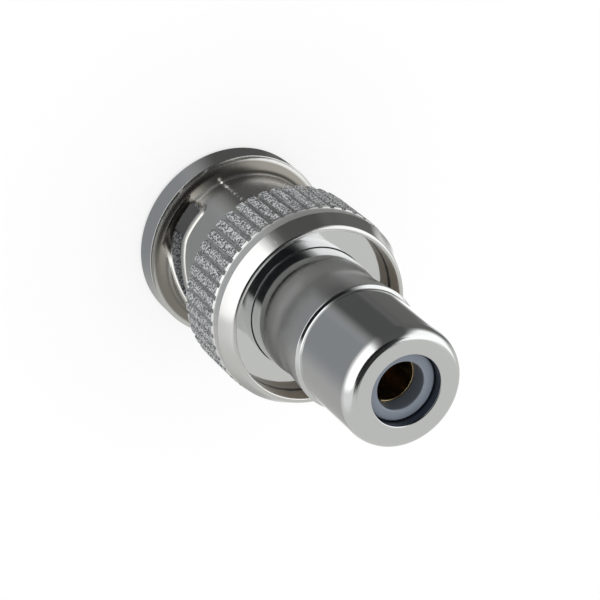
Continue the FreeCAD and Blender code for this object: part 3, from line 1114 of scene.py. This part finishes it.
@dataclass(frozen=True)
class CouplingNut:
    """Die-cast coupling nut: rim, waist with bayonet slots, ribbed band, collar, bevel and rolled lip."""

    rim_radius: float = 6.83
    rim_length: float = 1.9
    rim_chamfer: float = 0.22
    waist_radius: float = 5.7
    hollow: Round = Round(1.04, 14, 0.97)
    waist_top: Round = Round(0.5, 7)
    band_chamfer: float = 0.14
    collar_radius: float = 6.92
    collar_end: float = 13.27
    end: float = 14.45
    lip_thickness: float = 0.33
    lip_outside: Round = Round(0.33, 8)
    lip_inside: Round = Round(0.11, 5)
    bore_radius: float = 4.9
    bore_chamfer: float = 0.3
    chamber_radius: float = 5.75
    shoulder: float = 8.9
    ledge: float = 12.25
    ledge_width: float = 0.42
    recess_floor: float = 13.07
    recess_radius: float = 6.05
    edge: Round = Round(0.04)
    soft_edge: Round = Round(0.08)
    ribs: Ribs = Ribs()
    slots: Slots = Slots()
    seams: tuple[Seam, ...] = (
        Seam(243.0, 2.25, 8.2, 0.4, 0.15, 1.1),
        Seam(63.0, 2.25, 8.2, 0.4, 0.15, 1.1),
        Seam(254.5, 12.6, 14.35, 0.12, 0.04),
        Seam(74.5, 12.6, 14.35, 0.12, 0.04),
    )

    def surface(self, height: float) -> float:
        """Gives the outside radius of the waist and of the hollow at its foot.

        Args:
            height: Height above the front rim.

        Returns:
            The radius there.
        """
        hollow = self.hollow.radius
        drop = min(max(self.rim_length + hollow - height, 0.0), hollow)
        return self.waist_radius + hollow - math.sqrt(hollow**2 - drop * drop)

    def outline(self) -> list[Point]:
        """Returns the half section of the nut, up the outside and down the inside."""
        ribs, pocket = self.ribs, self.chamber_radius + self.ledge_width
        corners = [
            Corner(self.bore_radius + self.bore_chamfer, 0, self.edge),
            Corner(self.rim_radius - self.rim_chamfer, 0, self.soft_edge),
            Corner(self.rim_radius, self.rim_chamfer, self.soft_edge),
            Corner(self.rim_radius, self.rim_length, self.edge),
            Corner(self.waist_radius, self.rim_length, self.hollow),
            Corner(self.waist_radius, ribs.start, self.waist_top),
            Corner(ribs.radius - self.band_chamfer, ribs.start, self.edge),
            Corner(ribs.radius, ribs.start + self.band_chamfer, self.edge),
            Corner(ribs.radius, ribs.end - ribs.run_out),
            Corner(ribs.radius, ribs.end - (ribs.radius - self.collar_radius), self.edge),
            Corner(self.collar_radius, ribs.end, self.edge),
            Corner(self.collar_radius, self.collar_end, self.edge),
            Corner(self.recess_radius + self.lip_thickness, self.end, self.lip_outside),
            Corner(self.recess_radius, self.end, self.lip_inside),
            Corner(self.recess_radius, self.recess_floor),
            Corner(pocket, self.recess_floor),
            Corner(pocket, self.ledge),
            Corner(self.chamber_radius, self.ledge, self.edge),
            Corner(self.chamber_radius, self.shoulder, self.edge),
            Corner(self.bore_radius, self.shoulder, self.edge),
            Corner(self.bore_radius, self.bore_chamfer, self.edge),
        ]
        return ease(corners)

    def build(self) -> Piece:
        """Returns the nut's mesh, with its slots cut and its beads and seams laid on."""
        outline = self.outline()
        nut = turn_outline("coupling_nut_cast", outline, self.ribs.azimuths(), self.ribs.reach)
        cutters, extras = [], []
        for number in range(self.slots.count):
            cutters.append(self.slots.cutter(number, self.waist_radius, self.surface))
            cutters.append(self.slots.channel(number, self.bore_radius))
            extras.append(self.slots.bead(number, self.waist_radius))
        carve(nut, cutters)
        outside = outline[: max(range(len(outline)), key=lambda place: outline[place][1])]
        extras += [seam.strip(f"seam_{place}", outside) for place, seam in enumerate(self.seams)]
        join(nut, extras)
        return nut

    def dress(self) -> None:
        """Builds the nut and fits it."""
        fit_piece(self.build(), Body.NUT, "coupling_nut", CastNickel().material(self))


@dataclass(frozen=True)
class ClosingWasher:
    """Flat disc that closes the back of the nut."""

    hole: float = 4.38
    radius: float = 6.15
    start: float = 12.25
    end: float = 13.05
    edge: Round = Round(0.04)
    columns: int = 192

    def dress(self) -> None:
        """Builds the washer and fits it."""
        corners = stepped(self.edge, (self.hole, self.start), (self.radius, self.end))
        washer = turned("closing_washer_disc", corners, self.columns)
        finish = PlatedMetal("disc_nickel", (0.69, 0.7, 0.7), 0.07).material()
        fit_piece(washer, Body.NUT, "closing_washer", finish)


@dataclass(frozen=True)
class AdapterBody:
    """Turned body: slotted contact sleeve, flange, waisted neck and phono barrel."""

    sleeve_start: float = 1.5
    sleeve_radius: float = 4.05
    sleeve_bore: float = 3.53
    nose: float = 0.25
    fingers: int = 4
    finger_gap: float = 0.5
    finger_length: float = 4.6
    finger_turn: float = 45.0
    groove_start: float = 8.08
    groove_radius: float = 3.85
    flange_start: float = 8.92
    flange_end: float = 10.22
    flange_radius: float = 5.65
    neck_radius: float = 4.35
    neck_softens: float = 14.6
    neck_roughness: float = 0.2
    taper_start: float = 14.3
    taper: Round = Round(8.0, 8)
    waisted_radius: float = 4.16
    waisted_height: float = 16.5
    waisted: Round = Round(5.0, 10)
    shoulder_radius: float = 4.44
    shoulder_height: float = 19.68
    fillet: Round = Round(0.14, 5, 0.6)
    barrel_radius: float = 4.2
    barrel_start: float = 19.84
    barrel_end: float = 26.25
    barrel_round: float = 0.72
    round_length: float = 0.95
    round_rows: int = 18
    socket_radius: float = 2.45
    bush_end: float = 11.0
    edge: Round = Round(0.04)
    soft_edge: Round = Round(0.08)
    columns: int = 192

    def front(self) -> list[Corner]:
        """Returns points round the front edge of the barrel, a quarter of an ellipse."""
        points = []
        for step in range(self.round_rows + 1):
            turn = math.pi / 2 * step / self.round_rows
            across = self.barrel_radius - self.barrel_round * (1 - math.cos(turn))
            points.append(Corner(across, self.barrel_end - self.round_length * (1 - math.sin(turn))))
        return points

    def outline(self) -> list[Corner]:
        """Returns the half section of the body."""
        return [
            Corner(self.sleeve_bore + self.nose, self.sleeve_start, self.edge),
            Corner(self.sleeve_radius - self.nose, self.sleeve_start, self.edge),
            Corner(self.sleeve_radius, self.sleeve_start + self.nose, self.edge),
            Corner(self.sleeve_radius, self.groove_start, self.edge),
            Corner(self.groove_radius, self.groove_start, self.edge),
            Corner(self.groove_radius, self.flange_start, self.edge),
            Corner(self.flange_radius, self.flange_start, self.edge),
            Corner(self.flange_radius, self.flange_end, self.edge),
            Corner(self.neck_radius, self.flange_end, self.edge),
            Corner(self.neck_radius, self.taper_start, self.taper),
            Corner(self.waisted_radius, self.waisted_height, self.waisted),
            Corner(self.shoulder_radius, self.shoulder_height, self.edge),
            Corner(self.barrel_radius, self.barrel_start, self.fillet),
            *self.front(),
            Corner(self.socket_radius, self.barrel_end, self.soft_edge),
            Corner(self.socket_radius, self.bush_end, self.edge),
            Corner(self.sleeve_bore, self.bush_end, self.edge),
            Corner(self.sleeve_bore, self.sleeve_start + self.nose, self.edge),
        ]

    def dress(self) -> None:
        """Builds the body, saws its fingers open and fits it."""
        body = turned("adapter_body_turned", self.outline(), self.columns)
        half = self.finger_gap / 2
        low = (self.sleeve_bore - SAW_MARGIN, -half, self.sleeve_start - SAW_MARGIN)
        high = (self.sleeve_radius + SAW_MARGIN, half, self.sleeve_start + self.finger_length)
        saw(body, low, high, self.finger_turn, self.fingers)
        finish = PlatedMetal(
            "turned_nickel",
            (0.66, 0.67, 0.67),
            0.1,
            soft_span=(self.neck_softens, self.shoulder_height),
            soft_roughness=self.neck_roughness,
            # Painted shade darkens the socket's wall inside this radius.
            bore=self.socket_radius,
        ).material()
        fit_piece(body, Body.ADAPTER, "adapter_body", finish)


@dataclass(frozen=True)
class PlugEnd:
    """What the plug holds: soft gasket, white bush and centre pin."""

    gasket_inner: float = 3.87
    gasket_outer: float = 4.6
    gasket_start: float = 8.1
    gasket_end: float = 8.9
    gasket_round: Round = Round(0.16, 5)
    bush_radius: float = 3.51
    bush_start: float = 7.2
    bush_end: float = 10.98
    nose_radius: float = 1.6
    nose_start: float = 6.6
    shank_radius: float = 1.0
    shank_end: float = 12.3
    pin_radius: float = 0.675
    pin_tip: float = 2.2
    pin_point: float = 0.3
    pin_round: Round = Round(0.12, 4)
    tail_radius: float = 0.75
    tail_end: float = 13.9
    fit: float = 0.02
    edge: Round = Round(0.04)
    soft_edge: Round = Round(0.08)
    columns: int = 96

    def gasket(self) -> Piece:
        """Returns the gasket's mesh."""
        inner, outer = (self.gasket_inner, self.gasket_start), (self.gasket_outer, self.gasket_end)
        corners = stepped(self.edge, inner, outer, others={1: self.gasket_round})
        return turned("front_gasket_ring", corners, self.columns)

    def bush(self) -> Piece:
        """Returns the bush's mesh."""
        hole = self.shank_radius + self.fit
        nose, rest = (self.nose_radius, self.bush_start), (self.bush_radius, self.bush_end)
        corners = stepped(self.edge, (hole, self.nose_start), nose, rest, others={1: self.soft_edge})
        return turned("bnc_insulator_bush", corners, self.columns)

    def pin(self) -> Piece:
        """Returns the pin's mesh."""
        corners = [
            Corner(0, self.pin_tip),
            Corner(self.pin_radius - self.pin_point, self.pin_tip, self.pin_round),
            Corner(self.pin_radius, self.pin_tip + 2 * self.pin_point, self.pin_round),
            Corner(self.pin_radius, self.nose_start, self.edge),
            Corner(self.shank_radius, self.nose_start, self.edge),
            Corner(self.shank_radius, self.shank_end, self.edge),
            Corner(self.tail_radius, self.shank_end, self.edge),
            Corner(self.tail_radius, self.tail_end, self.edge),
            Corner(0, self.tail_end),
        ]
        return turned("centre_pin_turned", corners, self.columns)

    def dress(self) -> None:
        """Builds the three pieces and fits them."""
        rubber = Moulding("gasket_rubber", (0.35, 0.08, 0.06), 0.6).material()
        white = Moulding("bush_white", (0.85, 0.85, 0.82), 0.4).material()
        gold = PlatedMetal("pin_gold", (0.83, 0.65, 0.3), 0.2).material()
        fit_piece(self.gasket(), Body.ADAPTER, "front_gasket", rubber)
        fit_piece(self.bush(), Body.ADAPTER, "bnc_insulator", white)
        fit_piece(self.pin(), Body.ADAPTER, "centre_pin", gold)


@dataclass(frozen=True)
class JackEnd:
    """What the phono barrel holds: plastic insulator and contact tube."""

    insulator_radius: float = 2.43
    insulator_start: float = 11.02
    insulator_end: float = 25.55
    insulator_floor: float = 12.3
    insulator_hole: float = 1.65
    contact_end: float = 24.25
    contact_radius: float = 1.95
    contact_bore: float = 1.58
    contact_start: float = 12.32
    contact_floor: float = 13.92
    tail_hole: float = 0.77
    shank_hole: float = 1.02
    slits: int = 2
    slit_width: float = 0.4
    slit_length: float = 6.5
    slit_turn: float = 15.0
    fit: float = 0.02
    edge: Round = Round(0.04)
    mouth: Round = Round(0.14, 4)
    columns: int = 128

    def insulator(self) -> Piece:
        """Returns the insulator's mesh."""
        seat = self.contact_radius + self.fit
        corners = stepped(
            self.edge,
            (self.shank_hole, self.insulator_start),
            (self.insulator_radius, self.insulator_end),
            (self.insulator_hole, self.contact_end),
            (seat, self.insulator_floor),
            others={2: self.mouth, 3: self.mouth},
        )
        return turned("rca_insulator_tube", corners, self.columns)

    def contact(self) -> Piece:
        """Returns the contact tube's mesh, slit at its mouth."""
        top, half = self.contact_end - self.fit, self.slit_width / 2
        foot, floor = (self.tail_hole, self.contact_start), (self.contact_bore, self.contact_floor)
        corners = stepped(self.edge, foot, (self.contact_radius, top), floor)
        tube = turned("rca_contact_tube", corners, self.columns)
        low = (self.contact_bore - SAW_MARGIN, -half, top - self.slit_length)
        high = (self.contact_radius + SAW_MARGIN, half, top + SAW_MARGIN)
        saw(tube, low, high, self.slit_turn, self.slits)
        return tube

    def dress(self) -> None:
        """Builds both pieces and fits them."""
        # The insulator's hole is darkened inside by painted shade.
        plastic = Moulding("insulator_grey", (0.27, 0.31, 0.37), 0.3, bore=self.insulator_hole).material()
        brass = PlatedMetal("contact_brass", (0.7, 0.56, 0.32), 0.25).material()
        fit_piece(self.insulator(), Body.ADAPTER, "rca_insulator", plastic)
        fit_piece(self.contact(), Body.ADAPTER, "rca_contact", brass)


@dataclass(frozen=True)
class SpringStack:
    """The flat ring and the wavy ring that pull the nut forward, which keep the frame's own meshes."""

    nodes: tuple[str, ...] = ("thrust_washer", "wave_spring")
    wavy: str = "wave_spring"
    pull: str = "nut_pull"
    travel: float = 0.8

    def dress(self) -> None:
        """Gives both rings their finish, and gives the wavy one a mesh of its own."""
        finish = PlatedMetal("spring_steel", (0.5, 0.5, 0.5), 0.3).material()
        for name in self.nodes:
            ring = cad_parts[name]
            ring.data.materials.clear()
            ring.data.materials.append(finish)
            LOG.info("%s: dressed", name)
        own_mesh(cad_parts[self.wavy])


def grey(level: float) -> Colour:
    """Returns a grey as a colour."""
    return (level, level, level)


@dataclass(frozen=True)
class Glow:
    """One field of the light round the adapter: a soft box, a dark card or a lit stretch of table.

    Attributes:
        azimuth: Where its middle stands.
        spread: Half of its width, in degrees.
        low: Elevation of its lower edge.
        high: Elevation of its upper edge.
        level: How bright it looks in polished metal.
        blur: Width of its soft sides, in degrees.
        fade: Width of its soft upper and lower edges.
    """

    azimuth: float
    spread: float
    low: float
    high: float
    level: Colour
    blur: float
    fade: float

    def mask(self, nodes: Nodes, azimuth: Socket, elevation: Socket) -> Socket:
        """Finds how much of a view this field fills.

        Args:
            nodes: The shader that it goes into.
            azimuth: Azimuth of the view, in degrees from -180 to 180.
            elevation: Elevation of the view.

        Returns:
            The share, from 0 to 1.
        """
        turned_by = nodes.math("SUBTRACT", azimuth, self.azimuth)
        away = nodes.math("ABSOLUTE", nodes.math("WRAP", turned_by, 180.0, -180.0))
        side, edge = (-self.blur / 2, self.blur / 2), (-self.fade / 2, self.fade / 2)
        inside = nodes.times(nodes.rise(elevation, self.low, edge), nodes.fall(elevation, self.high, edge))
        return nodes.times(nodes.fall(away, self.spread, side), inside)


@dataclass(frozen=True)
class Studio:
    """Camera, pale floor and soft light."""

    lens: float = 132.0
    sensor: float = 36.0
    clip: float = 0.001
    place: tuple[float, float, float] = (0.05, -88.46, 130.95)
    tilt: float = 36.55
    roll: float = 130.81
    floor_size: float = 1200.0
    floor_tint: float = 0.35
    floor_share: float = 0.96
    # Radius of the painted shadow under the nut, where the floor's white is turned down.
    foot: float = 6.2
    painted_shadow_fade: float = 0.7
    painted_shadow_level: float = 0.07
    eye_height: float = 20.0
    plain_level: float = 0.9
    tent: Colour = (0.72, 0.72, 0.7)
    glows: tuple[Glow, ...] = (
        Glow(88, 44, -58, -32, grey(1.3), 32, 16),
        Glow(122, 14, -50, -26, grey(1.55), 18, 14),
        Glow(85, 28, -90, -50, grey(1.05), 36, 8),
        Glow(5, 58, -90, -32, (0.48, 0.48, 0.47), 44, 14),
        Glow(342, 14, -18, 50, grey(0.95), 24, 18),
        Glow(290, 46, -90, -30, (0.31, 0.325, 0.34), 44, 14),
        Glow(290, 39, -17, 50, grey(1.6), 14, 18),
        Glow(124, 22, 50, 66, grey(1.5), 12, 12),
        Glow(136, 16, 16, 66, grey(1.5), 14, 16),
        Glow(160, 22, 6, 64, grey(1.5), 14, 16),
        Glow(182, 20, 10, 50, grey(1.4), 22, 18),
        Glow(166, 33, -90, -4, (0.16, 0.16, 0.155), 24, 18),
        Glow(142, 8, -38, -22, grey(1.0), 10, 8),
        Glow(219, 29, -90, 90, grey(0.1), 26, 10),
        Glow(265, 62, 47, 90, (0.01, 0.01, 0.012), 18, 5),
        Glow(330, 30, 57, 90, grey(0.05), 12, 8),
        Glow(190, 22, 57, 90, grey(0.05), 12, 8),
        Glow(92, 18, 59, 91, grey(0.05), 8, 6),
        Glow(0, 190, 68, 91, grey(0.03), 1, 8),
    )

    def camera(self) -> None:
        """Sets up the camera as it looked at the adapter."""
        data = bpy.data.cameras.new("camera")
        data.lens = self.lens
        data.sensor_width = self.sensor
        data.clip_start = self.clip
        camera = bpy.data.objects.new("camera", data)
        bpy.context.scene.collection.objects.link(camera)
        tilt = Matrix.Rotation(math.radians(self.tilt), 4, "X")
        roll = Matrix.Rotation(math.radians(self.roll), 4, "Z")
        camera.matrix_world = Matrix.Translation(Vector(self.place) * MM) @ (tilt @ roll)
        bpy.context.scene.camera = camera

    def surroundings(self, nodes: Nodes, view: Socket) -> Socket:
        """Lays out what polished metal sees round it.

        Args:
            nodes: The shader that it goes into.
            view: Direction of the view.

        Returns:
            The colour of the light from there.
        """
        east, north, up = nodes.add("SeparateXYZ", {0: nodes.vector("NORMALIZE", view)}).outputs
        azimuth = nodes.math("DEGREES", nodes.math("ARCTAN2", north, east))
        elevation = nodes.math("DEGREES", nodes.math("ARCSINE", up))
        colour: object = self.tent
        for glow in self.glows:
            colour = nodes.blend(glow.mask(nodes, azimuth, elevation), colour, glow.level)
        return colour

    def floor(self) -> None:
        """Lays the pale floor, which keeps a faint shadow, is white to the camera and has a painted shadow
        under the nut.
        """
        half = self.floor_size / 2
        corners = [(-half, -half, 0), (half, -half, 0), (half, half, 0), (-half, half, 0)]
        floor = new_piece("floor", corners, [(0, 1, 2, 3)])
        floor.data.transform(Matrix.Scale(MM, 4))
        nodes = Nodes("floor")
        place = nodes.add("NewGeometry").outputs["Position"]
        below = nodes.vector("SUBTRACT", place, (0.0, 0.0, self.eye_height * MM))
        away = nodes.add("VectorMath", {0: place}, operation="LENGTH").outputs["Value"]
        # Painted shadow: under the nut the floor's white and its reflection fall to a low level.
        start, end = self.foot * MM, (self.foot + self.painted_shadow_fade) * MM
        clear_of_painted_shadow = nodes.ramp(away, start, end, self.painted_shadow_level, 1.0)
        lift = 1.0 - self.floor_tint * self.plain_level * self.floor_share
        lifted = nodes.times(nodes.looked_at(), clear_of_painted_shadow, lift)
        white = nodes.add("Emission", {"Color": WHITE, "Strength": lifted})
        lit = nodes.add("AddShader", {0: nodes.shader.outputs[0], 1: white.outputs[0]})
        seen = nodes.add("Emission", {"Color": self.surroundings(nodes, below), "Strength": clear_of_painted_shadow})
        nodes.mirror(lit, seen)
        tint = (*grey(self.floor_tint), 1.0)
        floor.data.materials.append(nodes.finish({"Base Color": tint, "Specular IOR Level": 0.0}))

    def world(self) -> None:
        """Sets the world: white behind the adapter, plain light on it, soft boxes and cards in its metal."""
        world = bpy.data.worlds.new("world")
        world.use_nodes = True
        nodes = Nodes.on(world.node_tree)
        view = nodes.add("TexCoord").outputs["Generated"]
        seen = nodes.add("Background", {"Color": self.surroundings(nodes, view), "Strength": 1.0})
        white = nodes.add("Background", {"Color": WHITE, "Strength": 1.0})
        plain = nodes.add("Background", {"Color": WHITE, "Strength": self.plain_level})
        rest = {0: nodes.looked_at(), 1: plain.outputs[0], 2: white.outputs[0]}
        nodes.mirror(nodes.add("MixShader", rest), seen)
        bpy.context.scene.world = world

    def build(self) -> None:
        """Sets up the whole studio."""
        self.camera()
        self.floor()
        self.world()
        bpy.context.scene.view_settings.view_transform = "Standard"


def main() -> None:
    """Builds and dresses every piece, then the studio."""
    logging.basicConfig(level=logging.INFO, format="%(message)s")
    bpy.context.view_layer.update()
    for part in (CouplingNut(), ClosingWasher(), AdapterBody(), PlugEnd(), JackEnd(), SpringStack()):
        part.dress()
    Studio().build()


if __name__ == "__main__":
    main()
